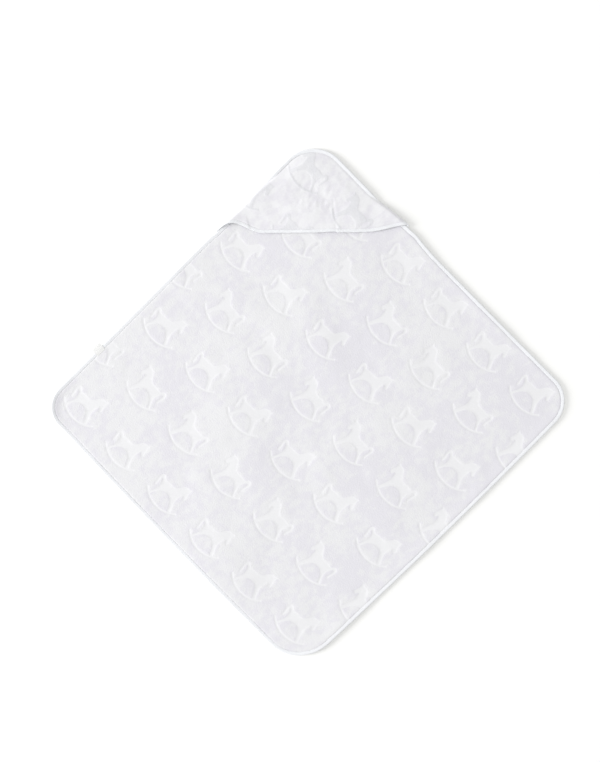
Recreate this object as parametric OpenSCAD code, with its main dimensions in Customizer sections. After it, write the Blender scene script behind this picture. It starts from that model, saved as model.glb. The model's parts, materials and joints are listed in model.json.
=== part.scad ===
// Hooded baby towel, laid flat on its back.
// X to the right, Y towards the hood's corner, Z up.
// The origin is on the floor, under the middle of the towel.

/* [Towel] */
// Length of each side of the square, over the binding
side = 750; // [650:10:900]
// Radius of the rounded corners, over the binding
corner_r = 62; // [40:1:90]
// Thickness of the terry cloth, loops included
cloth_t = 3.6; // [3.2:0.1:5]
// Thickness of the towel cloth pressed inside the binding
pressed_t = 2.2; // [1.5:0.1:2.4]

/* [Hood] */
// Length of the hood's sewn sides, from the square's sharp corner
hood_leg = 267; // [220:1:320]
// Height that the free edge arches above the towel, at its middle
hood_rise = 14; // [12:0.5:25]
// Thickness of the hood's cloth
hood_cloth_t = 2.6; // [2:0.1:3.5]
// Thickness of the hood's sewn margin, pressed inside the binding
margin_t = 1.8; // [1:0.1:2.5]
// Number of flat strips that make the arch
hood_strips = 16; // [8:2:24]

/* [Binding] */
// Thickness of the tape
tape_t = 0.6; // [0.4:0.05:0.8]
// Width of the folded tape round the towel
edge_tape_w = 9; // [7:0.5:14]
// Width of the folded tape on the hood's free edge
hood_tape_w = 8; // [6:0.5:12]

/* [Seams] */
// Width of a row of stitches
thread_w = 0.7; // [0.4:0.1:1]
// Distance from the tape's inner edge to the middle of the stitches
seam_to_edge = 1.5; // [1:0.1:2.5]

/* [Care label] */
// Width of the label along the towel's side
label_w = 20; // [12:1:30]
// Length of the folded label, from its sewn end to its fold
label_len = 17; // [12:1:30]
// Distance from the square's sharp left corner to the label's middle
label_from_corner = 159; // [120:1:300]
// Thickness of the label's ribbon
ribbon_t = 0.25; // [0.15:0.05:0.3]

/* [Hidden] */
$fn = 64;

cloth_colour = [0.91, 0.91, 0.94];
tape_colour = [0.97, 0.97, 0.98];
thread_colour = [1, 1, 1];
label_colour = [0.95, 0.94, 0.9];

// Room between pieces on different bodies
clear = 0.4;
// Depth of the groove that a row of stitches pulls into the tape
groove = 0.25;
// Height that the needle thread stands out of its groove
proud = 0.15;

// Height of the binding where it holds only the towel, and where it holds the hood too
plain_h = pressed_t + 2 * tape_t;
tall_h = plain_h + margin_t;
// Half of a side's straight stretch, and where the hood starts along the side
straight = side / 2 - corner_r;
hood_start = side / 2 - hood_leg;
// Inset of the free hood, and the sharp corner that its strips fan out from
hood_inset = edge_tape_w + clear;
fan_y = side / sqrt(2) - hood_inset * sqrt(2);
// The free edge of the hood, and its distance from the fan's corner
mouth_y = (side / 2 + hood_start) / sqrt(2);
fan_len = fan_y - mouth_y;
// Underside of the hood's cloth where it meets the binding
hood_z = cloth_t + clear + tape_t;
// Full height and nose radius of the hood's folded tape
hood_tape_h = hood_cloth_t + 2 * tape_t;
hood_nose_r = hood_tape_h / 2;
// Points on each half-round of the hood's folded tape
nose_steps = 8;
// Slit inside the folded label, its full thickness, and its underside
label_slit = 0.1;
label_t = 2 * ribbon_t + label_slit;
label_z = cloth_t + clear;
// Distance from the towel's edge to the label's sewn end
label_root = edge_tape_w + 1.4;

// ---- Outlines of the towel, seen from above ----

// The rounded square, drawn in from the towel's edge by inset
module towel_outline(inset) {
    s = side - 2 * inset;
    r = corner_r - inset;
    rotate(45) {
        square([s, s - 2 * r], center = true);
        square([s - 2 * r, s], center = true);
        for (x = [-1, 1], y = [-1, 1])
            translate([x, y] * (s / 2 - r))
                circle(r);
    }
}

// The part of the towel that the hood covers
module hood_zone() {
    rotate(45)
        translate([hood_start, hood_start])
            square(side / 2 - hood_start);
}

// ---- Strips that follow the towel's edge ----
// A profile's X is the distance out from the edge, so it is negative, and its Y is the height

module side_run(from, to) {
    translate([side / 2, to, 0])
        rotate([90, 0, 0])
            linear_extrude(to - from)
                children();
}

module corner_bend() {
    translate([straight, straight, 0])
        rotate_extrude(angle = 90)
            translate([corner_r, 0])
                children();
}

// children(0) is the plain profile, and children(1) is the one along the hood
module follow_edge() {
    rotate([0, 0, 45]) {
        for (turn = [90, 180, 270])
            rotate([0, 0, turn])
                corner_bend() children(0);
        for (turn = [180, 270])
            rotate([0, 0, turn])
                side_run(-straight, straight) children(0);
        side_run(-straight, hood_start) children(0);
        side_run(hood_start, straight) children(1);
        corner_bend() children(1);
        rotate([0, 0, 90]) {
            side_run(-straight, -hood_start) children(1);
            side_run(-hood_start, straight) children(0);
        }
    }
}

module seam_profile(bottom, top) {
    translate([seam_to_edge - edge_tape_w - thread_w / 2, bottom])
        square([thread_w, top - bottom]);
}

// Tape folded over the edge, with its nose at X = 0 and a groove for each thread
module tape_profile(h) {
    nose = h / 2;
    difference() {
        union() {
            translate([-edge_tape_w, 0])
                square([edge_tape_w - nose, h]);
            translate([-nose, nose])
                circle(nose);
        }
        translate([-edge_tape_w - 1, tape_t])
            square([edge_tape_w + 1 - nose, h - 2 * tape_t]);
        translate([-nose, nose])
            circle(nose - tape_t);
        seam_profile(-1, groove);
        seam_profile(h - groove, h + 1);
    }
}

// ---- The arched hood ----
// A place on the hood is [across, along]: across runs from -1 to 1 between the sewn sides,
// and along is the distance from the fan's corner towards the free edge

function lift(across, along) = hood_rise * along / fan_len * (1 - across * across);

function hood_point(across, along, z) =
    [across * along, fan_y - along, hood_z + z + lift(across, along)];

function strip_edges() = [for (i = [0 : hood_strips]) 2 * i / hood_strips - 1];

// Carries a strip across the arch. Its two faces are lists of [along, height] points, in pairs
module across_hood(outer, inner) {
    pairs = len(outer);
    n = 2 * pairs;
    profile = concat(outer, reversed(inner));
    points = [for (across = strip_edges()) for (p = profile) hood_point(across, p[0], p[1])];
    walls = [for (i = [0 : hood_strips - 1]) for (j = [0 : n - 1])
        let (a = i * n + j, b = i * n + (j + 1) % n)
            [a, b, b + n, a + n]];
    first_cap = [for (j = [0 : pairs - 2]) each cap_pair(j, j + 1, n - 2 - j, n - 1 - j)];
    last_cap = [for (face = first_cap) [for (j = [2, 1, 0]) hood_strips * n + face[j]]];
    polyhedron(points, concat(walls, first_cap, last_cap));
}

// Two triangles that fill the end between one pair of points and the next
function cap_pair(a, b, c, d) = [[d, b, a], [d, c, b]];

// Half circle round the hood's free edge, from the top to the underside
function nose(r) = [for (i = [0 : nose_steps])
    [cloth_end + r * sin(180 * i / nose_steps),
     hood_cloth_t / 2 + r * cos(180 * i / nose_steps)]];

function reversed(list) = [for (i = [len(list) - 1 : -1 : 0]) list[i]];

// Where the cloth starts, just off the fan's corner, and where it ends in the tape's nose
tip = 0.01;
cloth_end = fan_len - hood_nose_r;
// Edges of the row of stitches, and the top and inner edge of the tape
seam_far = fan_len - hood_tape_w + seam_to_edge + thread_w / 2;
seam_near = seam_far - thread_w;
tape_top = hood_cloth_t + tape_t;
tape_end = fan_len - hood_tape_w;
seam_pairs = [tape_end, seam_near - thread_w / 2, seam_near + thread_w / 4,
              seam_far - thread_w / 4, seam_far + thread_w / 2];

// The tape's outside, from its upper inner edge round the nose to its lower one. Each row of
// stitches pulls a groove into it
hood_tape_outside = concat(
    [[tape_end, tape_top], [seam_near, tape_top], [seam_near, tape_top - groove],
     [seam_far, tape_top - groove], [seam_far, tape_top]],
    nose(hood_nose_r),
    [[seam_far, -tape_t], [seam_far, groove - tape_t], [seam_near, groove - tape_t],
     [seam_near, -tape_t], [tape_end, -tape_t]]);

// The tape's inside, against the cloth, with a point for each point of the outside
hood_tape_inside = concat(
    [for (x = seam_pairs) [x, hood_cloth_t]],
    nose(hood_nose_r - tape_t),
    [for (x = reversed(seam_pairs)) [x, 0]]);

// ---- Sub-parts ----

module towel_panel() {
    color(cloth_colour) {
        translate([0, 0, tape_t])
            linear_extrude(pressed_t)
                towel_outline(plain_h / 2 + clear);
        linear_extrude(cloth_t)
            towel_outline(edge_tape_w + clear);
    }
}

module hood_panel() {
    color(cloth_colour)
        intersection() {
            across_hood([[tip, hood_cloth_t], [cloth_end, hood_cloth_t]], [[tip, 0], [cloth_end, 0]]);
            linear_extrude(100)
                towel_outline(hood_inset);
        }
}

module hood_seam_allowance() {
    color(cloth_colour)
        translate([0, 0, tape_t + pressed_t])
            linear_extrude(margin_t)
                intersection() {
                    difference() {
                        towel_outline(tall_h / 2);
                        towel_outline(edge_tape_w);
                    }
                    hood_zone();
                }
}

module edge_binding() {
    color(tape_colour)
        follow_edge() {
            tape_profile(plain_h);
            tape_profile(tall_h);
        }
}

module hood_binding() {
    color(tape_colour)
        across_hood(hood_tape_outside, hood_tape_inside);
}

// The thread climbs onto the thicker binding at each end of the hood
module thread_riser() {
    side_run(hood_start - thread_w, hood_start)
        seam_profile(plain_h - groove, tall_h + proud);
}

module edge_needle_thread() {
    color(thread_colour) {
        follow_edge() {
            seam_profile(plain_h - groove, plain_h + proud);
            seam_profile(tall_h - groove, tall_h + proud);
        }
        rotate([0, 0, 45]) {
            thread_riser();
            mirror([1, -1, 0]) thread_riser();
        }
    }
}

module edge_bobbin_thread() {
    color(thread_colour)
        follow_edge() {
            seam_profile(0, groove);
            seam_profile(0, groove);
        }
}

module hood_thread(bottom, top) {
    color(thread_colour)
        across_hood([[seam_near, top], [seam_far, top]], [[seam_near, bottom], [seam_far, bottom]]);
}

module hood_needle_thread() {
    hood_thread(tape_top - groove, tape_top + proud);
}

module hood_bobbin_thread() {
    hood_thread(-tape_t, groove - tape_t);
}

// A ribbon folded once, lying outwards across the binding from its sewn end
module care_label() {
    color(label_colour)
        rotate([0, 0, 45])
            translate([label_from_corner - side / 2 - label_w / 2, side / 2 - label_root, label_z])
                rotate([90, 0, 90])
                    linear_extrude(label_w)
                        difference() {
                            union() {
                                square([label_len - label_t / 2, label_t]);
                                translate([label_len - label_t / 2, label_t / 2])
                                    circle(label_t / 2);
                            }
                            translate([-1, ribbon_t])
                                square([label_len + 1 - label_t / 2, label_slit]);
                        }
}

towel_panel();
hood_panel();
hood_seam_allowance();
edge_binding();
hood_binding();
edge_needle_thread();
edge_bobbin_thread();
hood_needle_thread();
hood_bobbin_thread();
care_label();
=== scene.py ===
import json
import math

import bpy
import numpy as np
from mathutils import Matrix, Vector
from mathutils.geometry import delaunay_2d_cdt


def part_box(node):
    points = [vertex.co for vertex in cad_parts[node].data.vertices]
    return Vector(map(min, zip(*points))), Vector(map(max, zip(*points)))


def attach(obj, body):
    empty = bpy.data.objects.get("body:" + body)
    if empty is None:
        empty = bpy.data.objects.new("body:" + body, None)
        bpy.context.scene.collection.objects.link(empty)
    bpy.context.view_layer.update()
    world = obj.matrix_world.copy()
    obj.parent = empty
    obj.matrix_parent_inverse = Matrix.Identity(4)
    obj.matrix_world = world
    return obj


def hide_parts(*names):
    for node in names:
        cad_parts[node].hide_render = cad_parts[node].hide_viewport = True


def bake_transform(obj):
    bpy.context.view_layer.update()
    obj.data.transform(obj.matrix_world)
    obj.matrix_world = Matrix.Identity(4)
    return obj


# Lengths are in millimetres until make_mesh() and place() turn them into metres.
# A flat place on the cloth is (u, v): u runs along the lower left side and v along the upper left
# side, both from the left corner. Seen from above, X is to the right and Y towards the hood.

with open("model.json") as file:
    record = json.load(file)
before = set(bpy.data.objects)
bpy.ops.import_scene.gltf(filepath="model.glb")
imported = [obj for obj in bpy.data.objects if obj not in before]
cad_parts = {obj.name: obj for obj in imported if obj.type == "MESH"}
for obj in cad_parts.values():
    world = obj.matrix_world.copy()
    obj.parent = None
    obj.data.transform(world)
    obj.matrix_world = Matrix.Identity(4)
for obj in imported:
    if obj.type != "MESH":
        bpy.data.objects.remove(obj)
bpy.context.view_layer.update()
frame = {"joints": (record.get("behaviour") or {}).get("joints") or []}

MM = 0.001
ROOT2 = math.sqrt(2)


def cad_size(node, axis):
    low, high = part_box(node)
    return (high[axis] - low[axis]) / MM


# ---- Sizes ----

# Radii of the cloth's corners as it lies: right, top, left, bottom
CORNER_RADII = [60, 73, 50, 80]
CAD_CORNER_R = 62
SIDE = (cad_size("edge_binding", 0) + 2 * CAD_CORNER_R * (ROOT2 - 1)) / ROOT2
HALF = SIDE / 2

TAPE_T = 0.6
# How far the binding slopes down from its outer rim to its inner edge
TAPE_FALL = 0.42
EDGE_TAPE_W = 7.2
HOOD_TAPE_W = 6
SEAM_TO_EDGE = 1.5
STITCH = 3.0
THREAD_R = 0.2

# Heights of the towel's middle layer, and of its faces from there
TOWEL_MID = 1.85
WEAVE = 1.3
LOOPS = 0.27
PRESSED = 0.72

HOOD_MARGIN_MID = 3.75
HOOD_MID = 5.6
HOOD_PRESSED = 0.55
HOOD_ARCH = 1.1
MOUTH_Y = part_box("hood_binding")[0].y / MM


# ---- Small helpers ----


def smooth(low, high, x):
    """0 below low, 1 above high, and a smooth rise between them."""
    t = np.clip((np.asarray(x, float) - low) / (high - low), 0, 1)
    return t * t * (3 - 2 * t)


def bump(x, centre, width):
    return np.exp(-(((x - centre) / width) ** 2))


def noise(x, y, scale, seed):
    """Smooth random field with bumps about scale wide, from -1 to 1."""
    table = np.random.RandomState(seed).uniform(-1, 1, (256, 256))
    x = np.asarray(x, float) / scale + 128
    y = np.asarray(y, float) / scale + 128
    x0, y0 = np.floor(x).astype(int), np.floor(y).astype(int)
    fx, fy = x - x0, y - y0
    fx = fx * fx * fx * (fx * (fx * 6 - 15) + 10)
    fy = fy * fy * fy * (fy * (fy * 6 - 15) + 10)
    pick = lambda i, j: table[(x0 + i) % 256, (y0 + j) % 256]
    low = pick(0, 0) * (1 - fx) + pick(1, 0) * fx
    high = pick(0, 1) * (1 - fx) + pick(1, 1) * fx
    return low * (1 - fy) + high * fy


def flat_of(x, y):
    return (x - y) / ROOT2 + HALF, (x + y) / ROOT2 + HALF


def plan_of(u, v):
    return (u + v - SIDE) / ROOT2, (v - u) / ROOT2


def from_edge(u, v):
    """Distance in from the edge of the rounded square, negative outside it."""
    p, q = u - HALF, v - HALF
    radius = np.where(p > 0, np.where(q > 0, CORNER_RADII[0], CORNER_RADII[3]),
                      np.where(q > 0, CORNER_RADII[1], CORNER_RADII[2]))
    a = np.abs(p) - (HALF - radius)
    b = np.abs(q) - (HALF - radius)
    outside = np.hypot(np.maximum(a, 0), np.maximum(b, 0)) + np.minimum(np.maximum(a, b), 0)
    return radius - outside


def rolled(u, v):
    """1 along the parts of the hood's two sides where its cloth has rolled out over the binding."""
    left = smooth(95, 165, SIDE - v) * smooth(292, 270, SIDE - v) * smooth(110, 70, u)
    right = smooth(150, 225, u) * smooth(292, 270, u) * smooth(110, 70, SIDE - v)
    return left, right


def turned_in(u, v):
    """How far the towel's own edge lies back under the rolled cloth."""
    return 2.5 * np.maximum(*rolled(u, v))


# ---- How the towel lies on the floor ----

# The corners lie a few millimetres off the true square: how far right and how far up
CORNER_SHIFT = {"right": (1, 5), "top": (11.5, 3), "left": (4.5, -6.5), "bottom": (-19, 1)}
# How far the middles of three sides bow outwards
BOW_LOWER_RIGHT, BOW_UPPER_RIGHT, BOW_LOWER_LEFT = 5.5, -1.5, 4
# How far the upper right side bulges out where the hood's free edge meets it
HOOD_END_BULGE = 5.5


def lay(x, y):
    """Where a place on the true square lies on the floor."""
    u, v = flat_of(x, y)
    a, b = u / SIDE, v / SIDE
    share = {"left": (1 - a) * (1 - b), "bottom": a * (1 - b), "top": (1 - a) * b, "right": a * b}
    dx = sum(share[k] * CORNER_SHIFT[k][0] for k in share)
    dy = sum(share[k] * CORNER_SHIFT[k][1] for k in share)
    hump = lambda t: np.sin(math.pi * np.clip(t, 0, 1))
    du = BOW_LOWER_RIGHT * a * hump(b)
    dv = BOW_UPPER_RIGHT * b * hump(a) - BOW_LOWER_LEFT * (1 - b) * hump(a)
    dv = dv + HOOD_END_BULGE * bump(u, 266, 48) * smooth(SIDE - 90, SIDE, v)
    return x + dx + (du + dv) / ROOT2, y + dy + (dv - du) / ROOT2


def floor_gap(x, y):
    """Height of the cloth's underside above the floor: low, broad waves, and the edges that curl up."""
    broad = noise(x, y, 150, 3) + 0.5 * noise(x + 0.4 * y, y, 70, 5)
    small = noise(x, y, 34, 7)
    wave = np.maximum(0.9 * broad + 0.25 * small + 0.25, 0)
    u, v = flat_of(x, y)
    t = from_edge(u, v)
    left_corner = bump(u, 0, 55) * bump(v, 0, 80)
    bottom_corner = 0.4 * bump(v, 0, 50) * bump(u, SIDE, 60)
    curl = smooth(20, 0, t) * (left_corner + bottom_corner)
    upper_right = smooth(45, 5, SIDE - v) * smooth(20, 120, u) * (1 - 0.7 * bump(u, 262, 60))
    right_sides = np.maximum(smooth(45, 5, SIDE - u), upper_right)
    hood_end = bump(u, SIDE * 0.355, 38) * bump(v, SIDE, 26)
    return 1.5 * wave + 3.2 * curl + 1.0 * right_sides * smooth(42, 6, t) + 0.5 * hood_end


def place(x, y, z):
    """Points of the cloth as laid, in metres."""
    px, py = lay(x, y)
    return np.stack([px, py, z], axis=-1).reshape(-1, 3) * MM


# ---- The woven rocking horse ----


def spline(points, per_span):
    """Closed smooth curve through the points."""
    p = np.array(points, float)
    out = []
    for i in range(len(p)):
        a, b, c, d = p[i - 1], p[i], p[(i + 1) % len(p)], p[(i + 2) % len(p)]
        for k in range(per_span):
            t = k / per_span
            out.append(0.5 * (2 * b + (c - a) * t + (2 * a - 5 * b + 4 * c - d) * t * t
                              + (3 * b - a - 3 * c + d) * t ** 3))
    return np.array(out)


def rocker_outline():
    """A curved runner with round ends."""
    centre, radius, half_w, reach = Vector((-3, 27)), 60, 1.9, math.radians(43)
    arc = lambda r, a: (centre.x + r * math.sin(a), centre.y - r * math.cos(a))
    angles = np.linspace(-reach, reach, 40)
    lower = [arc(radius + half_w, a) for a in angles]
    upper = [arc(radius - half_w, a) for a in angles[::-1]]
    return np.array(lower + upper)


def horse_outline():
    """Side view of a plain rocking horse, without its runner. It faces along +X."""
    front_leg = [(27.5, -25), (24, -16), (20, -7), (18, 1), (18.5, 8)]
    head = [(19.5, 15), (21.5, 17.5), (24, 15), (26.5, 11.5), (30, 13), (30.5, 17), (28.5, 23),
            (27, 30), (27.5, 36.5), (23, 34.5), (17.5, 34.5), (11.5, 32)]
    back = [(7, 26), (3, 20), (-2, 16.5), (-9, 15.5), (-16, 16), (-22, 15), (-26.5, 15)]
    tail = [(-30, 19), (-35, 20.5), (-39, 17.5), (-40, 11.5), (-38.5, 5), (-37.5, -2), (-36.5, -6.5),
            (-33.5, -5), (-34, 2), (-35.5, 9), (-34.5, 13.5), (-31.5, 12.5), (-28.5, 8.5)]
    hind_leg = [(-26, 2), (-26, -5), (-29, -14), (-34, -24), (-30, -26), (-26, -17), (-20, -8.5)]
    belly = [(-13, -3.5), (-5, -1.5), (3, -2.5), (10, -7.5), (16, -15.5), (21.5, -26)]
    return spline(front_leg + head + back + tail + hind_leg + belly, 4)


def evenly(outline, step):
    """The closed outline's points again, step apart."""
    closed = np.vstack([outline, outline[:1]])
    lengths = np.r_[0, np.cumsum(np.hypot(*np.diff(closed, axis=0).T))]
    n = max(8, int(round(lengths[-1] / step)))
    at = np.linspace(0, lengths[-1], n, endpoint=False)
    return np.stack([np.interp(at, lengths, closed[:, k]) for k in (0, 1)], axis=1)


def area_of(outline):
    x, y = outline.T
    return 0.5 * np.sum(x * np.roll(y, -1) - y * np.roll(x, -1))


def grown(outline, by):
    """The outline moved outwards by a small distance."""
    ahead = np.roll(outline, -1, 0) - np.roll(outline, 1, 0)
    ahead /= np.linalg.norm(ahead, axis=1, keepdims=True)
    side = np.sign(area_of(outline))
    return outline + by * side * np.stack([ahead[:, 1], -ahead[:, 0]], axis=1)


def distance_to(outline, points):
    """Distance from each point to the closed outline, negative inside."""
    a = outline
    b = np.roll(outline, -1, 0)
    best = np.full(len(points), 1e9)
    inside = np.zeros(len(points), bool)
    for (ax, ay), (bx, by) in zip(a, b):
        ex, ey = bx - ax, by - ay
        px, py = points[:, 0] - ax, points[:, 1] - ay
        t = np.clip((px * ex + py * ey) / (ex * ex + ey * ey), 0, 1)
        best = np.minimum(best, np.hypot(px - t * ex, py - t * ey))
        crosses = (ay > points[:, 1]) != (by > points[:, 1])
        if ey:
            inside ^= crosses & (points[:, 0] < ax + ex * (points[:, 1] - ay) / ey)
    return np.where(inside, -best, best)


STEP_HALF = 0.8
MOTIF_SIZE = 1.012
OUTLINE_STEP = 2.1
MOTIF = [evenly(rocker_outline(), OUTLINE_STEP), evenly(horse_outline(), OUTLINE_STEP)]
MOTIF_REACH = 48
# How far inside the outline a triangle's middle has to be
RIM_MARGIN = 0.06


class Motifs:
    """Where the woven horses are on one cloth, as (u, v, facing) with facing 1 along +u and -1 back."""

    def __init__(self, places):
        self.places = places

    def outlines(self):
        for u, v, facing in self.places:
            for shape in MOTIF:
                for by in (-STEP_HALF, STEP_HALF):
                    yield grown(shape, by) * MOTIF_SIZE * (facing, 1) + (u, v)

    def distance(self, points):
        """Distance to the nearest horse's outline, negative inside a horse."""
        best = np.full(len(points), 1e3)
        for u, v, facing in self.places:
            local = (points - (u, v)) * (facing, 1) / MOTIF_SIZE
            near = np.max(np.abs(local), axis=1) < MOTIF_REACH
            for shape in MOTIF:
                best[near] = np.minimum(best[near], distance_to(shape, local[near]))
        return best


def towel_motifs():
    """Seven rows, which face right and left by turns. The rows stand a little closer to the hood."""
    places = []
    for row in range(7):
        v = 63 + 109.9 * row - 0.75 * row ** 2
        facing = 1 if row % 2 == 0 else -1
        first = 63 if facing == 1 else 123
        for k in range(-1, 6):
            places.append((first + 0.7 * row + (123.1 - 0.17 * row) * k, v, facing))
    return Motifs([p for p in places if -45 < p[0] < SIDE + 45])


def hood_motifs():
    """The hood was cut across two rows of the same cloth."""
    upper = [(46 + 124.5 * k, 690.5, -1) for k in range(0, 2)]
    lower = [(-5 + 120.5 * k, 586, 1) for k in range(0, 2)]
    return Motifs(upper + lower)


# ---- Meshes ----


def make_mesh(name, points, faces, material, attributes=None):
    """A smooth-shaded mesh object from points in metres. attributes maps a name to one value a point."""
    mesh = bpy.data.meshes.new(name)
    mesh.from_pydata(points.tolist(), [], faces if isinstance(faces, list) else faces.tolist())
    for key, values in (attributes or {}).items():
        kind = "FLOAT_VECTOR" if values.ndim == 2 else "FLOAT"
        attribute = mesh.attributes.new(key, kind, "POINT")
        attribute.data.foreach_set("vector" if values.ndim == 2 else "value",
                                   values.astype(np.float32).ravel())
    mesh.polygons.foreach_set("use_smooth", np.ones(len(mesh.polygons), bool))
    mesh.set_sharp_from_angle(angle=math.radians(60))
    mesh.materials.append(material)
    mesh.update()
    obj = bpy.data.objects.new(name, mesh)
    bpy.context.scene.collection.objects.link(obj)
    return obj


def triangulate(outline, extra, motifs, spacing, is_inside):
    """Fills the outline with triangles whose edges follow the horses, and which also use the extra
    points. Returns points and triangles."""
    points, edges = [], []

    def add_loop(loop):
        first = len(points)
        points.extend(loop.tolist())
        edges.extend((first + i, first + (i + 1) % len(loop)) for i in range(len(loop)))

    add_loop(outline)
    for loop in motifs.outlines():
        if is_inside(loop[:, 0], loop[:, 1], -6).any():
            add_loop(loop)
    low, high = outline.min(0), outline.max(0)
    rows = np.arange(low[1], high[1], spacing * math.sqrt(3) / 2)
    columns = np.arange(low[0], high[0], spacing)
    grid = np.array([(x + (j % 2) * spacing / 2, y) for j, y in enumerate(rows) for x in columns])
    grid = grid[is_inside(grid[:, 0], grid[:, 1], spacing * 0.6)]
    grid = np.vstack([grid, extra])
    grid = grid[np.abs(motifs.distance(grid)) > STEP_HALF + 1.1]
    points.extend(grid.tolist())
    made = delaunay_2d_cdt([Vector(p) for p in points], edges, [], 0, 1e-4)
    flat = np.array([tuple(p) for p in made[0]])
    triangles = np.array(made[2])
    middle = flat[triangles].mean(axis=1)
    # Three points of one straight side make a sliver with no area, which would open once the side is laid
    triangles = triangles[is_inside(middle[:, 0], middle[:, 1], RIM_MARGIN)]
    used, triangles = np.unique(triangles, return_inverse=True)
    return flat[used], triangles.reshape(-1, 3)


def closed_cloth(name, flat, triangles, top, bottom, pile_top, pile_bottom, material):
    """Joins a top and a bottom face of the same triangles round their rim. top and bottom are placed
    points."""
    n = len(flat)
    e = np.vstack([triangles[:, [0, 1]], triangles[:, [1, 2]], triangles[:, [2, 0]]])
    key = np.sort(e, axis=1)
    _, first, count = np.unique(key, axis=0, return_index=True, return_counts=True)
    rim = e[first[count == 1]]
    walls = np.vstack([np.stack([rim[:, 1], rim[:, 0], rim[:, 0] + n], axis=1),
                       np.stack([rim[:, 1], rim[:, 0] + n, rim[:, 1] + n], axis=1)])
    faces = np.vstack([triangles, triangles[:, ::-1] + n, walls])
    where = np.vstack([np.c_[flat, np.zeros(n)], np.c_[flat, np.full(n, 40.0)]])
    return make_mesh(name, np.vstack([top, bottom]), faces, material,
                     {"pile": np.r_[pile_top, pile_bottom], "flat": where * MM})


def square_loop(inset, step):
    """The rounded square as (u, v) points, drawn in by inset, and their outward directions."""
    points, normals = [], []
    for k in range(4):
        radius = CORNER_RADII[k]
        turn = math.radians(90 * k)
        for a in np.linspace(0, math.pi / 2, max(3, int(radius * math.pi / 2 / step)), endpoint=False):
            outward = Vector((math.cos(a), math.sin(a)))
            corner = Vector((HALF - radius, HALF - radius)) + (radius - inset) * outward
            points.append(_turned(corner, turn))
            normals.append(_turned(outward, turn))
        run = SIDE - radius - CORNER_RADII[(k + 1) % 4]
        for d in np.linspace(0, run, max(2, int(run / step)), endpoint=False):
            points.append(_turned(Vector((HALF - radius - d, HALF - inset)), turn))
            normals.append(_turned(Vector((0, 1)), turn))
    return np.array(points) + HALF, np.array(normals)


def _turned(p, angle):
    c, s = math.cos(angle), math.sin(angle)
    return (c * p.x - s * p.y, s * p.x + c * p.y)


# ---- The towel ----


def towel_faces(u, v, distance):
    """Heights of the towel's two faces, and how much of each is loops."""
    x, y = plan_of(u, v)
    t = from_edge(u, v) - turned_in(u, v)
    loops = smooth(-STEP_HALF, STEP_HALF, distance)
    full = 0.7 * smooth(EDGE_TAPE_W, EDGE_TAPE_W + 1, t) + 0.3 * smooth(EDGE_TAPE_W, EDGE_TAPE_W + 4, t)
    ripple = 0.1 * noise(u, v, 9, 21) + 0.06 * noise(u, v, 4.5, 22)
    mid = TOWEL_MID + floor_gap(x, y)
    under_hood = smooth(0, 12, y - mouth(x))
    full_top = full + under_hood * (np.minimum(full, smooth(EDGE_TAPE_W, EDGE_TAPE_W + 30, t)) - full)
    top = mid + PRESSED * (1 - full_top) + full_top * (WEAVE + loops * (LOOPS + ripple))
    bottom = mid - PRESSED * (1 - full) - full * (WEAVE + (1 - loops) * LOOPS)
    return top, bottom, loops


def make_towel(material):
    motifs = towel_motifs()
    inset = 2.2
    outline, normals = square_loop(inset, 4)
    outline = outline - normals * turned_in(outline[:, 0], outline[:, 1])[:, None]
    beside_tape = []
    for ring_inset in (EDGE_TAPE_W, EDGE_TAPE_W + 1, EDGE_TAPE_W + 2.5):
        ring, out = square_loop(ring_inset, 4)
        beside_tape.append(ring - out * turned_in(ring[:, 0], ring[:, 1])[:, None])
    flat, triangles = triangulate(outline, np.vstack(beside_tape), motifs, 5.4,
                                  lambda u, v, by: from_edge(u, v) - turned_in(u, v) > inset + by - 0.05)
    top, bottom, loops = towel_faces(flat[:, 0], flat[:, 1], motifs.distance(flat))
    x, y = plan_of(flat[:, 0], flat[:, 1])
    towel = closed_cloth("towel_panel_cloth", flat, triangles, place(x, y, top), place(x, y, bottom),
                         loops, 1 - loops, material)
    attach(towel, "towel")
    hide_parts("towel_panel")
    return towel


# ---- The hood ----

# Where the free edge has a small pleat
PLEAT_X = 49


def mouth(x):
    """Y of the hood's free edge. It climbs beside the left side, then turns and runs nearly straight, with
    a small step at the pleat, and rises a little at the right end."""
    x = np.asarray(x, float)
    pleat = 1.6 * smooth(PLEAT_X - 45, PLEAT_X - 3, x) * smooth(PLEAT_X + 2, PLEAT_X - 2, x)
    straight = MOUTH_Y - 6.2 + 17 * smooth(-96, -156, x) + pleat + 5 * smooth(118, 200, x)
    climb = MOUTH_Y - 4 + np.maximum(0.76 * (x + 186), 0.1 * (x + 186))
    soft = 4
    return -soft * np.logaddexp(-straight / soft, -climb / soft)


def beside_line(x, y, start, end):
    """Distance along the line from start to end, distance to its right, and its length."""
    ax, ay = start
    ex, ey = end[0] - ax, end[1] - ay
    length = math.hypot(ex, ey)
    return ((x - ax) * ex + (y - ay) * ey) / length, ((x - ax) * ey - (y - ay) * ex) / length, length


def ridge(x, y, start, end, width):
    """1 along a line between two plan points, falling off to each side and past its ends."""
    along_it, off_it, length = beside_line(x, y, start, end)
    past_end = smooth(length + 2 * width, length - width, along_it)
    return bump(off_it, 0, width) * smooth(-width, width, along_it) * past_end


def step_down(x, y, start, end, height):
    """A crease from start to end: the cloth rises slowly towards it from the left and drops at it."""
    along_it, off_it, length = beside_line(x, y, start, end)
    rise = smooth(-30, -4, -off_it) * smooth(2, -2, -off_it)
    return height * rise * smooth(-6, 4, along_it) * smooth(length + 6, length - 4, along_it)


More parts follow.
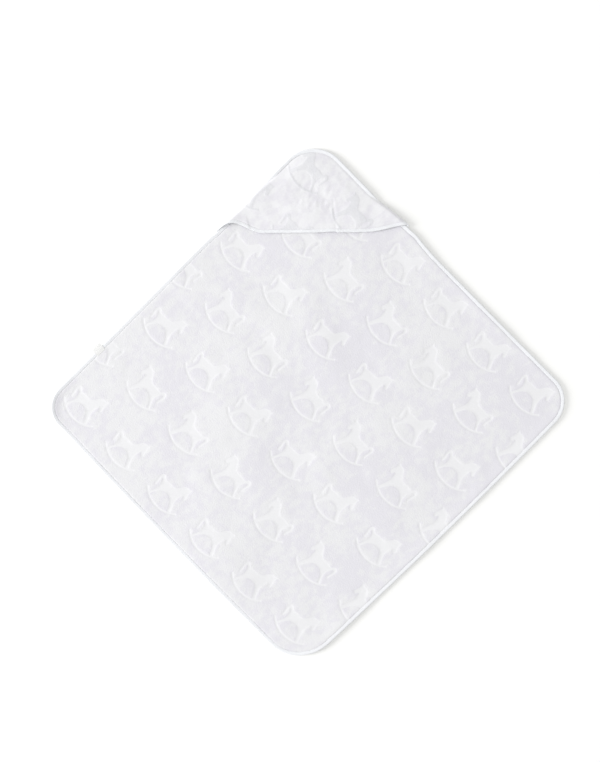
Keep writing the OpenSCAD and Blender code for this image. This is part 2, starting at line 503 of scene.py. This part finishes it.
def hood_arch(x, y):
    """Height that the hood stands off the towel, over its flat lie."""
    u, v = flat_of(x, y)
    left = np.maximum(u - EDGE_TAPE_W, 0.01)
    right = np.maximum(SIDE - EDGE_TAPE_W - v, 0.01)
    fan = HALF * ROOT2 - EDGE_TAPE_W * ROOT2 - MOUTH_Y
    arch = 2 * ROOT2 * HOOD_ARCH * left * right / (fan * (left + right))
    near_seam = smooth(0, 22, np.minimum(left, right))
    right_lift = 0.8 * bump(x, 160, 26) * bump(y, 340, 34)
    folds = -1.0 * ridge(x, y, (-165, 368), (-140, 362), 7)
    folds += step_down(x, y, (-131, 374), (-121, 341), 0.8)
    folds += -0.35 * ridge(x, y, (PLEAT_X - 8, 400), (PLEAT_X, 334), 2.6)
    streak = noise(0.45 * x - 0.2 * y, 0.5 * (x + 1.6 * y) / 3, 3.4, 31)
    wrinkles = 0.3 * streak * bump(x, 8, 55) * bump(y, 405, 42)
    soft = 0.7 * noise(x, y, 42, 33) + 0.25 * noise(x, y, 20, 34)
    return arch + near_seam * (right_lift + folds + wrinkles + soft)


def tunnel(x, y):
    """The free edge stands up in a small arch at its left end, and slopes down from there."""
    return 4 * bump(x, -166, np.where(x > -166, 28, 16)) * bump(y, 350, 16)


def hood_point(x, y, off):
    """The laid place of a hood point, from its flat plan place and its distance off the middle layer."""
    u, v = flat_of(x, y)
    t = from_edge(u, v)
    off_tape = smooth(EDGE_TAPE_W - 1, EDGE_TAPE_W + 26, t)
    z = HOOD_MARGIN_MID + off_tape * (HOOD_MID - HOOD_MARGIN_MID + hood_arch(x, y))
    roll_left, roll_right = rolled(u, v)
    roll = np.maximum(roll_left, roll_right)
    over_tape = z + np.maximum(6.3 - z, 0) * smooth(48, 14, t)
    z = z + roll * (1.9 + (over_tape - 1.9) * smooth(1, 12, t) - z) + tunnel(x, y)
    lean = math.pi / 2 * smooth(14, 2, t) * roll
    u = u - roll_left * (4.2 * smooth(0, 7, u) * smooth(60, 12, u) + off * np.sin(lean))
    v = v + roll_right * (7.5 * smooth(0, 7, SIDE - v) * smooth(60, 12, SIDE - v) + off * np.sin(lean))
    return place(*plan_of(u, v), z + off * np.cos(lean) + floor_gap(x, y))


def hood_faces(u, v, distance):
    """How far the hood's two faces are off its middle layer, and how much of the upper one is loops."""
    x, y = plan_of(u, v)
    t = np.minimum(from_edge(u, v), y - mouth(x) + EDGE_TAPE_W - HOOD_TAPE_W)
    full = smooth(EDGE_TAPE_W, EDGE_TAPE_W + 4, t)
    woven = smooth(-STEP_HALF, STEP_HALF, distance)
    ripple = 0.1 * noise(u, v, 9, 41) + 0.06 * noise(u, v, 4.5, 42)
    top = HOOD_PRESSED * (1 - full) + full * (WEAVE + (1 - woven) * LOOPS + ripple)
    full_bottom = np.minimum(full, smooth(EDGE_TAPE_W - 1, EDGE_TAPE_W + 26, from_edge(u, v)))
    bottom = -HOOD_PRESSED * (1 - full_bottom) - full_bottom * (WEAVE + woven * LOOPS)
    return top, bottom, 1 - woven


def hood_follow(x, y):
    """How far a point of the hood follows its hinge: none at the sewn sides, all at the middle."""
    u, v = flat_of(x, y)
    left = np.maximum(u - EDGE_TAPE_W, 0)
    right = np.maximum(SIDE - EDGE_TAPE_W - v, 0)
    across = 4 * left * right / np.maximum(left + right, 1e-6) ** 2
    return across * smooth(EDGE_TAPE_W, EDGE_TAPE_W + 16, from_edge(u, v))


def bend_with_hood(obj, x, y):
    """Bakes obj's placement into its points and works out from x and y how far each would follow the hood's
    hinge, but keeps nothing of that. x and y are its points' places before they were laid.
    """
    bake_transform(obj)
    hood_follow(x, y).astype(np.float32)


def make_hood(material):
    motifs = hood_motifs()
    inset, hem = 2.8, 1.4
    loop, _ = square_loop(inset, 3)
    x, y = plan_of(loop[:, 0], loop[:, 1])
    sewn = loop[y > mouth(x) + hem]
    sewn_x, sewn_y = plan_of(sewn[:, 0], sewn[:, 1])
    order = np.argsort(-np.arctan2(sewn_y - MOUTH_Y, sewn_x))
    sewn = sewn[order]
    left_x = plan_of(sewn[0, 0], sewn[0, 1])[0]
    right_x = plan_of(sewn[-1, 0], sewn[-1, 1])[0]
    edge_x = np.linspace(right_x, left_x, 180)[1:-1]
    edge = np.stack(flat_of(edge_x, mouth(edge_x) + hem), axis=1)
    outline = np.vstack([sewn, edge])

    def is_inside(u, v, by):
        px, py = plan_of(u, v)
        return (from_edge(u, v) > inset + by) & (py - mouth(px) > hem + by)

    flat, triangles = triangulate(outline, np.empty((0, 2)), motifs, 1.9, is_inside)
    top, bottom, loops = hood_faces(flat[:, 0], flat[:, 1], motifs.distance(flat))
    x, y = plan_of(flat[:, 0], flat[:, 1])
    hood = closed_cloth("hood_cloth", flat, triangles, hood_point(x, y, top), hood_point(x, y, bottom),
                        loops, 1 - loops, material)
    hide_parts("hood_panel", "hood_seam_allowance")
    bend_with_hood(hood, np.r_[x, x], np.r_[y, y])
    return hood


# ---- Folded tape ----


def sweep_tape(name, path, inward, width, half, fall, lift, material, closed):
    """Folds a tape over an edge. path and inward are plan points and directions, width and half are the
    tape's width and half its height at each. fall is how far it slopes down to its inner edges, and
    lift(x, y, off) places a point off the middle layer."""
    nose_steps = 8
    outer = [(share, 1.0) for share in np.linspace(1, 0, 5)]
    outer += [(None, math.pi * k / nose_steps) for k in range(1, nose_steps)]
    outer += [(share, -1.0) for share in np.linspace(0, 1, 5)]
    xs, ys, offs = [], [], []
    for thickness, ring in ((0, outer), (TAPE_T, outer[::-1])):
        for share, s in ring:
            if share is None:
                inset = half - (half - thickness) * math.sin(s)
                off = (half - thickness) * math.cos(s)
            else:
                inset = half + share * (width - half)
                off = s * (half - thickness - fall * share ** 1.5)
            xs.append(path[:, 0] + inward[:, 0] * inset)
            ys.append(path[:, 1] + inward[:, 1] * inset)
            offs.append(off)
    x, y, off = (np.stack(c, axis=1) for c in (xs, ys, offs))
    n, k = x.shape
    index = np.arange(n * k).reshape(n, k)
    ahead, right = np.roll(index, -1, axis=0), np.roll(index, -1, axis=1)
    ahead_right = np.roll(ahead, -1, axis=1)
    rows = slice(None) if closed else slice(0, n - 1)
    faces = np.stack([index, right, ahead_right, ahead], axis=-1)[rows].reshape(-1, 4).tolist()
    if not closed:
        faces += [index[0][::-1].tolist(), index[-1].tolist()]
    where = np.stack([np.repeat(along(path)[:, None], k, 1), np.repeat(np.arange(k)[None] * 1.0, n, 0),
                      np.zeros((n, k))], axis=-1).reshape(-1, 3) * MM
    x, y = x.ravel(), y.ravel()
    return make_mesh(name, lift(x, y, off.ravel()), faces, material, {"flat": where}), x, y


def along(points):
    """Length along a path up to each of its points."""
    return np.r_[0, np.cumsum(np.hypot(*np.diff(points, axis=0).T))]


def over_hood(x, y):
    """1 where the edge binding also holds the hood's margin, 0 elsewhere."""
    return smooth(MOUTH_Y - 11, MOUTH_Y - 1, y) * (1 - np.maximum(*rolled(*flat_of(x, y))))


def edge_half(x, y):
    return TOWEL_MID - 0.1 + 0.9 * over_hood(x, y)


def edge_point(x, y, off):
    pucker = 0.04 + 0.03 * noise(x, y, 7, 51)
    return place(x, y, floor_gap(x, y) + TOWEL_MID + 0.9 * over_hood(x, y) + pucker + off)


def edge_path(inset, step):
    """Plan points round the towel's edge, and the way into the cloth."""
    loop, normals = square_loop(inset, step)
    loop = loop - normals * turned_in(loop[:, 0], loop[:, 1])[:, None]
    inward = -np.stack(plan_of(normals[:, 0] + HALF, normals[:, 1] + HALF), axis=1)
    return np.stack(plan_of(loop[:, 0], loop[:, 1]), axis=1), inward


def make_edge_binding(material):
    path, inward = edge_path(0, 2.2)
    x, y = path.T
    width = EDGE_TAPE_W + 0.3 * noise(x, y, 12, 52)
    obj, _, _ = sweep_tape("edge_binding_tape", path, inward, width, edge_half(x, y), TAPE_FALL, edge_point,
                           material, True)
    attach(obj, "towel")
    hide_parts("edge_binding")
    return obj


HOOD_TAPE_HALF = HOOD_PRESSED + TAPE_T


def mouth_path(step, from_side):
    """Points along the hood's free edge between the sewn sides, and the way into the cloth."""
    x = np.arange(-200, 200, 0.5)
    u, v = flat_of(x, mouth(x))
    x = x[(u > from_side) & (v < SIDE - from_side)]
    x = np.linspace(x[0], x[-1], int((x[-1] - x[0]) / step))
    slope = np.gradient(mouth(x), x)
    inward = np.stack([-slope, np.ones_like(slope)], axis=1)
    return np.stack([x, mouth(x)], axis=1), inward / np.linalg.norm(inward, axis=1, keepdims=True)


def make_hood_binding(material):
    path, inward = mouth_path(1.5, 3.5)
    u, v = flat_of(path[:, 0], path[:, 1])
    width = np.minimum(HOOD_TAPE_W, np.minimum(u, SIDE - v))
    half = np.full(len(path), HOOD_TAPE_HALF)
    obj, x, y = sweep_tape("hood_binding_tape", path, inward, width, half, 0, hood_point, material, False)
    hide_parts("hood_binding")
    bend_with_hood(obj, x, y)
    return obj


# ---- Stitches ----


def make_stitches(name, path, height, lift, material):
    """A row of separate stitches along a plan path. Each dips into the tape at both ends. height(x, y) is
    how far off the middle layer they lie."""
    at = along(path)
    rings, sides = 6, 6
    share = np.linspace(-1, 1, rings)
    dip = 0.3 * share ** 4
    radius = THREAD_R * (1 - 0.55 * share ** 6)
    points, where, faces = [], [], []
    for i in range(int(at[-1] / STITCH)):
        s = (i + 0.5 + 0.42 * share) * STITCH
        cx, cy = np.interp(s, at, path[:, 0]), np.interp(s, at, path[:, 1])
        dx, dy = cx[-1] - cx[0], cy[-1] - cy[0]
        length = math.hypot(dx, dy)
        middle = height(cx, cy)
        inner = -np.sign(middle) * dip
        first = len(points)
        for j in range(rings):
            for k in range(sides):
                a = 2 * math.pi * k / sides
                across = radius[j] * math.cos(a)
                points.append((cx[j] - dy / length * across, cy[j] + dx / length * across,
                               middle[j] + inner[j] + radius[j] * math.sin(a)))
                where.append((s[j], k * 0.3, 0))
        for j in range(rings - 1):
            for k in range(sides):
                a, b = first + j * sides + k, first + j * sides + (k + 1) % sides
                faces.append((a, b, b + sides, a + sides))
        faces.append(tuple(first + k for k in range(sides))[::-1])
        faces.append(tuple(first + (rings - 1) * sides + k for k in range(sides)))
    x, y, off = np.array(points).T
    obj = make_mesh(name, lift(x, y, off), faces, material, {"flat": np.array(where) * MM})
    return obj, x, y


def make_edge_stitches(material):
    path, _ = edge_path(EDGE_TAPE_W - SEAM_TO_EDGE, 2.2)
    path = np.vstack([path, path[:1]])
    sunk = 0.7 * TAPE_FALL + 0.08
    made = []
    for name, node, side in (("edge_needle_stitches", "edge_needle_thread", 1),
                             ("edge_bobbin_stitches", "edge_bobbin_thread", -1)):
        height = lambda x, y: side * (edge_half(x, y) - sunk)
        obj, _, _ = make_stitches(name, path, height, edge_point, material)
        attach(obj, "towel")
        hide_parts(node)
        made.append(obj)
    return made


def make_hood_stitches(material):
    path, inward = mouth_path(1.5, EDGE_TAPE_W + 3)
    path = path + inward * (HOOD_TAPE_W - SEAM_TO_EDGE)
    made = []
    for name, node, side in (("hood_needle_stitches", "hood_needle_thread", 1),
                             ("hood_bobbin_stitches", "hood_bobbin_thread", -1)):
        obj, x, y = make_stitches(name, path, lambda x, y: np.full(len(x), side * HOOD_TAPE_HALF), hood_point,
                                  material)
        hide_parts(node)
        bend_with_hood(obj, x, y)
        made.append(obj)
    return made


# ---- The care label ----


def label_line():
    """Side view of the label's ribbon, as (inset, height). It comes out from under the binding, turns
    up, lies out over the binding and past it, folds, and comes back the same way."""
    root, reach = EDGE_TAPE_W + 2, 8

    def turn(inset, height, radius, start, stop, steps):
        for a in np.radians(np.linspace(start, stop, steps + 1)):
            yield (inset + radius * math.cos(a), height + radius * math.sin(a))

    rising = lambda w: 3.26 + 0.5 * smooth(EDGE_TAPE_W + 1.5, 2, w)
    insets = np.r_[8, 6.5, 5, np.arange(3.5, -3, -0.5), -4.5]
    inner = [(EDGE_TAPE_W - 0.6, 2.8)] + list(turn(root, 3.0, 0.27, -90, 90, 6))
    inner += [(w, rising(w)) for w in insets]
    tip = list(turn(0.3 - reach, 3.91, 0.15, 270, 90, 6))
    outer = [(w, rising(w) + 0.3) for w in insets[::-1]]
    outer += list(turn(root, 3.05, 0.5, 90, -90, 6)) + [(EDGE_TAPE_W - 0.6, 2.55)]
    return np.array(inner + tip + outer)


def make_label(material):
    """A ribbon folded in half, whose ends go under the binding. Weights for a bend along its hinge, over the
    first few millimetres of its free part and nothing on the towel's side, are worked out but not kept."""
    low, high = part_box("care_label")
    centre = (low + high) / 2 / MM
    centre_v = float(flat_of(centre.x, centre.y)[1])
    width, half_t, columns, bend_length = 20, 0.1, 15, 4.5
    line = label_line()
    step = np.gradient(line, axis=0)
    step /= np.linalg.norm(step, axis=1, keepdims=True)
    side = np.stack([-step[:, 1], step[:, 0]], axis=1)
    loop = np.vstack([line + side * half_t, (line - side * half_t)[::-1]])
    lengths = np.r_[along(line), along(line)[::-1]]
    across = np.linspace(-width / 2, width / 2, columns)
    n, k = columns, len(loop)
    a = np.repeat(across[:, None], k, 1)
    inset = np.repeat(loop[None, :, 0], n, 0)
    height = np.repeat(loop[None, :, 1], n, 0)
    out = np.clip((EDGE_TAPE_W - inset) / 15, 0, 1)
    height = height + out ** 2 * (0.3 + 0.3 * (a / width)) + 0.08 * np.sin(a / 4) * out
    x, y = plan_of(inset, centre_v + a - 2 + 0.07 * (EDGE_TAPE_W - inset))
    z = height + floor_gap(x, y)
    index = np.arange(n * k).reshape(n, k)
    right = np.roll(index, -1, axis=1)
    faces = np.stack([index[:-1], right[:-1], right[1:], index[1:]], axis=-1).reshape(-1, 4).tolist()
    faces += [index[0][::-1].tolist(), index[-1].tolist()]
    where = np.stack([a, np.repeat(lengths[None], n, 0), np.zeros((n, k))], axis=-1).reshape(-1, 3) * MM
    points = place(x.ravel(), y.ravel(), z.ravel())
    label = make_mesh("care_label_ribbon", points, faces, material, {"flat": where})
    hinge = Vector([j for j in frame["joints"] if j["name"] == "label_flip"][0]["pos_m"])
    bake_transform(label)
    hinge_inset = flat_of(hinge.x / MM, hinge.y / MM)[0]
    inset_laid = flat_of(points[:, 0] / MM, points[:, 1] / MM)[0]
    weights = smooth(hinge_inset, hinge_inset - bend_length, inset_laid)
    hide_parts("care_label")


# ---- Materials ----


class Shader:
    """A material being made. A node's input is a number, a colour, or another node's output."""

    def __init__(self, name, **settings):
        self.material = bpy.data.materials.new(name)
        self.material.use_nodes = True
        self.tree = self.material.node_tree
        self.surface = self.tree.nodes["Principled BSDF"]
        self.set(self.surface, settings)

    def set(self, node, inputs):
        for key, value in inputs.items():
            socket = node.inputs[key if isinstance(key, int) else key.replace("_", " ")]
            if isinstance(value, bpy.types.NodeSocket):
                self.tree.links.new(value, socket)
            else:
                socket.default_value = value

    def node(self, kind, inputs, output=0, **options):
        node = self.tree.nodes.new("ShaderNode" + kind)
        for key, value in options.items():
            setattr(node, key, value)
        self.set(node, inputs)
        return node.outputs[output]

    def attribute(self, name, output):
        return self.node("Attribute", {}, output, attribute_name=name)

    def maths(self, operation, *values):
        return self.node("Math", dict(enumerate(values)), operation=operation)

    def stretched(self, vector, scale, turn=0.0):
        return self.node("Mapping", {"Vector": vector, "Rotation": (0, 0, turn), "Scale": scale})

    def noise(self, vector, scale, detail=2.0, rough=0.5):
        return self.node("TexNoise", {"Vector": vector, "Scale": scale, "Detail": detail,
                                      "Roughness": rough})

    def mix(self, share, low, high):
        return self.node("Mix", {0: share, 6: low, 7: high}, 2, data_type="RGBA")

    def spread(self, value, low, high):
        """A 0..1 value taken to low..high."""
        return self.node("MapRange", {0: value, 1: 0.25, 2: 0.75, 3: low, 4: high})

    def bump(self, height, depth, normal=None):
        inputs = {"Height": height, "Distance": depth, "Strength": 1.0}
        if normal is not None:
            inputs["Normal"] = normal
        return self.node("Bump", inputs)

    def finish(self, **inputs):
        self.set(self.surface, inputs)
        return self.material


def linear(r, g, b):
    """A display colour from 0 to 255 as the light it stands for."""
    one = lambda c: c / 255 / 12.92 if c / 255 < 0.04045 else ((c / 255 + 0.055) / 1.055) ** 2.4
    return (one(r), one(g), one(b), 1)


def terry_material(name, loop_colours_with_painted_shade, weave_colours, painted_shade_drift, balance):
    """Jacquard towelling: soft loops where pile is 1, and a close flat weave where it is 0. The loops take
    darker colours than the weave: painted shade among the loops. The nap lies over in patches of two colours.
    The next-to-last argument paints shade: how much more of the first, darker colour there is to the right,
    away from the lamp on the left. balance is how much of the second in all."""
    s = Shader(name, Roughness=0.9, Sheen_Weight=0.1, Sheen_Roughness=0.6)
    flat = s.attribute("flat", "Vector")
    pile = s.attribute("pile", "Fac")
    tufts = s.noise(flat, 330.0, 3.0, 0.6)
    loops = s.node("TexVoronoi", {"Vector": s.stretched(flat, (1, 1.25, 1)), "Scale": 620.0,
                                  "Randomness": 0.8}, "Distance", feature="SMOOTH_F1")
    weave = s.node("TexWave", {"Vector": s.stretched(flat, (1, 1, 1), math.radians(45)),
                               "Scale": 260.0, "Distortion": 0.6, "Detail": 1.0}, "Fac")
    broad = s.noise(flat, 7.0, 2.0)
    brushed = s.noise(s.stretched(flat, (66, 46, 60)), 1.0, 5.0, 0.62)
    lie = s.maths("ADD", s.maths("MULTIPLY", broad, 0.4), s.maths("MULTIPLY", brushed, 0.6))
    # Painted shade: towards the right the patches turn to the first, darker colour, as the light falls off
    # away from the lamp.
    across = s.node("VectorMath", {0: flat, 1: (painted_shade_drift, painted_shade_drift, 0)}, "Value", operation="DOT_PRODUCT")
    lie = s.maths("ADD", s.maths("SUBTRACT", lie, across), painted_shade_drift * SIDE * MM + balance)
    patch = s.node("MapRange", {0: lie, 1: 0.44, 2: 0.58, 3: 0.0, 4: 1.0}, interpolation_type="SMOOTHSTEP")
    loop_colour_with_painted_shade = s.mix(patch, *[linear(*c) for c in loop_colours_with_painted_shade])
    weave_colour = s.mix(patch, *[linear(*c) for c in weave_colours])
    # Painted shade: the loops take darker colours than the flat weave of the same yarn.
    colour = s.mix(pile, weave_colour, loop_colour_with_painted_shade)
    grain = s.spread(tufts, 0.986, 1.014)
    colour = s.node("VectorMath", {0: colour, "Scale": grain}, operation="SCALE")
    loop_height = s.maths("SUBTRACT", s.maths("MULTIPLY", tufts, 0.9), s.maths("MULTIPLY", loops, 0.7))
    height = s.node("Mix", {0: pile, 2: s.maths("MULTIPLY", weave, 0.2), 3: loop_height}, 0)
    rough = s.node("MapRange", {0: pile, 1: 0.0, 2: 1.0, 3: 0.8, 4: 0.95})
    return s.finish(Base_Color=colour, Roughness=rough, Normal=s.bump(height, 0.0003))


def tape_material():
    """Woven cotton tape with a fine diagonal rib."""
    s = Shader("binding_tape_weave", Roughness=0.75, Sheen_Weight=0.1)
    flat = s.attribute("flat", "Vector")
    rib = s.node("TexWave", {"Vector": s.stretched(flat, (1, 1, 1), math.radians(35)), "Scale": 330.0,
                             "Distortion": 0.4, "Detail": 1.0}, "Fac")
    slub = s.noise(s.stretched(flat, (60, 500, 1)), 1.0, 3.0)
    colour = s.mix(s.spread(slub, 0, 1), linear(*TAPE_DARK), linear(*TAPE_LIGHT))
    height = s.maths("ADD", rib, s.maths("MULTIPLY", slub, 0.6))
    return s.finish(Base_Color=colour, Roughness=s.spread(slub, 0.7, 0.85), Normal=s.bump(height, 0.00015))


def thread_material():
    """Sewing thread of two twisted plies."""
    s = Shader("sewing_thread", Roughness=0.6, Sheen_Weight=0.1)
    flat = s.attribute("flat", "Vector")
    ply = s.node("TexWave", {"Vector": s.stretched(flat, (1, 1, 1), math.radians(40)), "Scale": 900.0}, "Fac")
    fibre = s.noise(flat, 2500.0, 2.0)
    colour = s.mix(fibre, linear(*THREAD_DARK), linear(*THREAD_LIGHT))
    return s.finish(Base_Color=colour, Roughness=s.spread(fibre, 0.5, 0.7), Normal=s.bump(ply, 0.0001))


def label_material():
    """Smooth cream satin ribbon with a fine rib along it."""
    s = Shader("label_satin", Roughness=0.5, Sheen_Weight=0.1)
    flat = s.attribute("flat", "Vector")
    rib = s.node("TexWave", {"Vector": flat, "Scale": 800.0}, "Fac")
    fibre = s.noise(s.stretched(flat, (900, 120, 1)), 1.0, 2.0)
    colour = s.mix(fibre, linear(*LABEL_DARK), linear(*LABEL_LIGHT))
    height = s.maths("ADD", rib, fibre)
    return s.finish(Base_Color=colour, Roughness=s.spread(fibre, 0.42, 0.55), Normal=s.bump(height, 0.00006))


def floor_material():
    s = Shader("studio_floor", Roughness=0.95)
    place_on_floor = s.node("TexCoord", {}, "Object")
    mottle = s.noise(place_on_floor, 6.0, 2.0)
    return s.finish(Base_Color=s.mix(mottle, linear(*FLOOR_DARK), linear(*FLOOR_LIGHT)))


# Colours of the finishes before light falls on them, except that the loops' colours are painted darker than
# the flat weave's: painted shade among the loops
TOWEL_LOOPS_WITH_PAINTED_SHADE = (222, 220.7, 225.8), (227, 227, 228.2)
TOWEL_WEAVE = (230, 230, 231.4), (230.5, 230.5, 231.8)
HOOD_LOOPS_WITH_PAINTED_SHADE = (220, 220.2, 223.6), (224, 224.2, 226.6)
HOOD_WEAVE = (225.3, 224, 228.8), (231.2, 231.2, 232.8)
TAPE_DARK, TAPE_LIGHT = (234.5, 235.8, 238.6), (238.5, 239.8, 242)
THREAD_DARK, THREAD_LIGHT = (232, 233, 235), (239, 240, 242)
LABEL_DARK, LABEL_LIGHT = (234, 234, 233), (238, 238, 236)
FLOOR_DARK, FLOOR_LIGHT = (250, 250, 248), (252, 252, 250)


# ---- Camera, light and floor ----

# Straight above, a little left of the towel's middle and towards the hood, in metres
CAMERA_AT = (-0.0154, 0.0442, 2.0905)


def make_stage():
    camera = bpy.data.objects.new("camera", bpy.data.cameras.new("camera"))
    camera.data.lens = 50
    camera.location = CAMERA_AT
    bpy.context.scene.collection.objects.link(camera)
    bpy.context.scene.camera = camera

    # A low, large, soft light to the left, and an even light from all round
    elevation, heading, away = math.radians(17), math.radians(3), 9.0
    travel = Vector((math.cos(elevation) * math.cos(heading), math.cos(elevation) * math.sin(heading),
                     -math.sin(elevation)))
    key = bpy.data.objects.new("soft_box", bpy.data.lights.new("soft_box", "AREA"))
    key.data.shape = "DISK"
    key.data.size = 2 * away * math.tan(math.radians(12))
    key.data.energy = 3.1 * math.pi * away ** 2
    key.data.color = (0.985, 0.985, 1.0)
    key.location = -away * travel
    key.rotation_euler = travel.to_track_quat("-Z", "Y").to_euler()
    key.visible_camera = False
    bpy.context.scene.collection.objects.link(key)

    world = bpy.data.worlds.new("studio")
    world.use_nodes = True
    world.node_tree.nodes["Background"].inputs["Color"].default_value = (1, 1, 1, 1)
    world.node_tree.nodes["Background"].inputs["Strength"].default_value = 0.835
    bpy.context.scene.world = world
    bpy.context.scene.view_settings.view_transform = "Standard"

    size = 30
    corners = np.array([(-size, -size, 0), (size, -size, 0), (size, size, 0), (-size, size, 0)], float)
    make_mesh("studio_floor", corners, [(0, 1, 2, 3)], floor_material())


# ---- Everything together ----

make_stage()
tape = tape_material()
thread = thread_material()
# 0.045 paints shade: the towel's colours grow darker towards the right.
towel = make_towel(terry_material("towel_terry", TOWEL_LOOPS_WITH_PAINTED_SHADE, TOWEL_WEAVE, 0.045, 0.01))
towel_trim = [make_edge_binding(tape), *make_edge_stitches(thread)]
hood = make_hood(terry_material("hood_terry", HOOD_LOOPS_WITH_PAINTED_SHADE, HOOD_WEAVE, 0.0, 0.03))
hood_trim = [make_hood_binding(tape), *make_hood_stitches(thread)]
make_label(label_material())
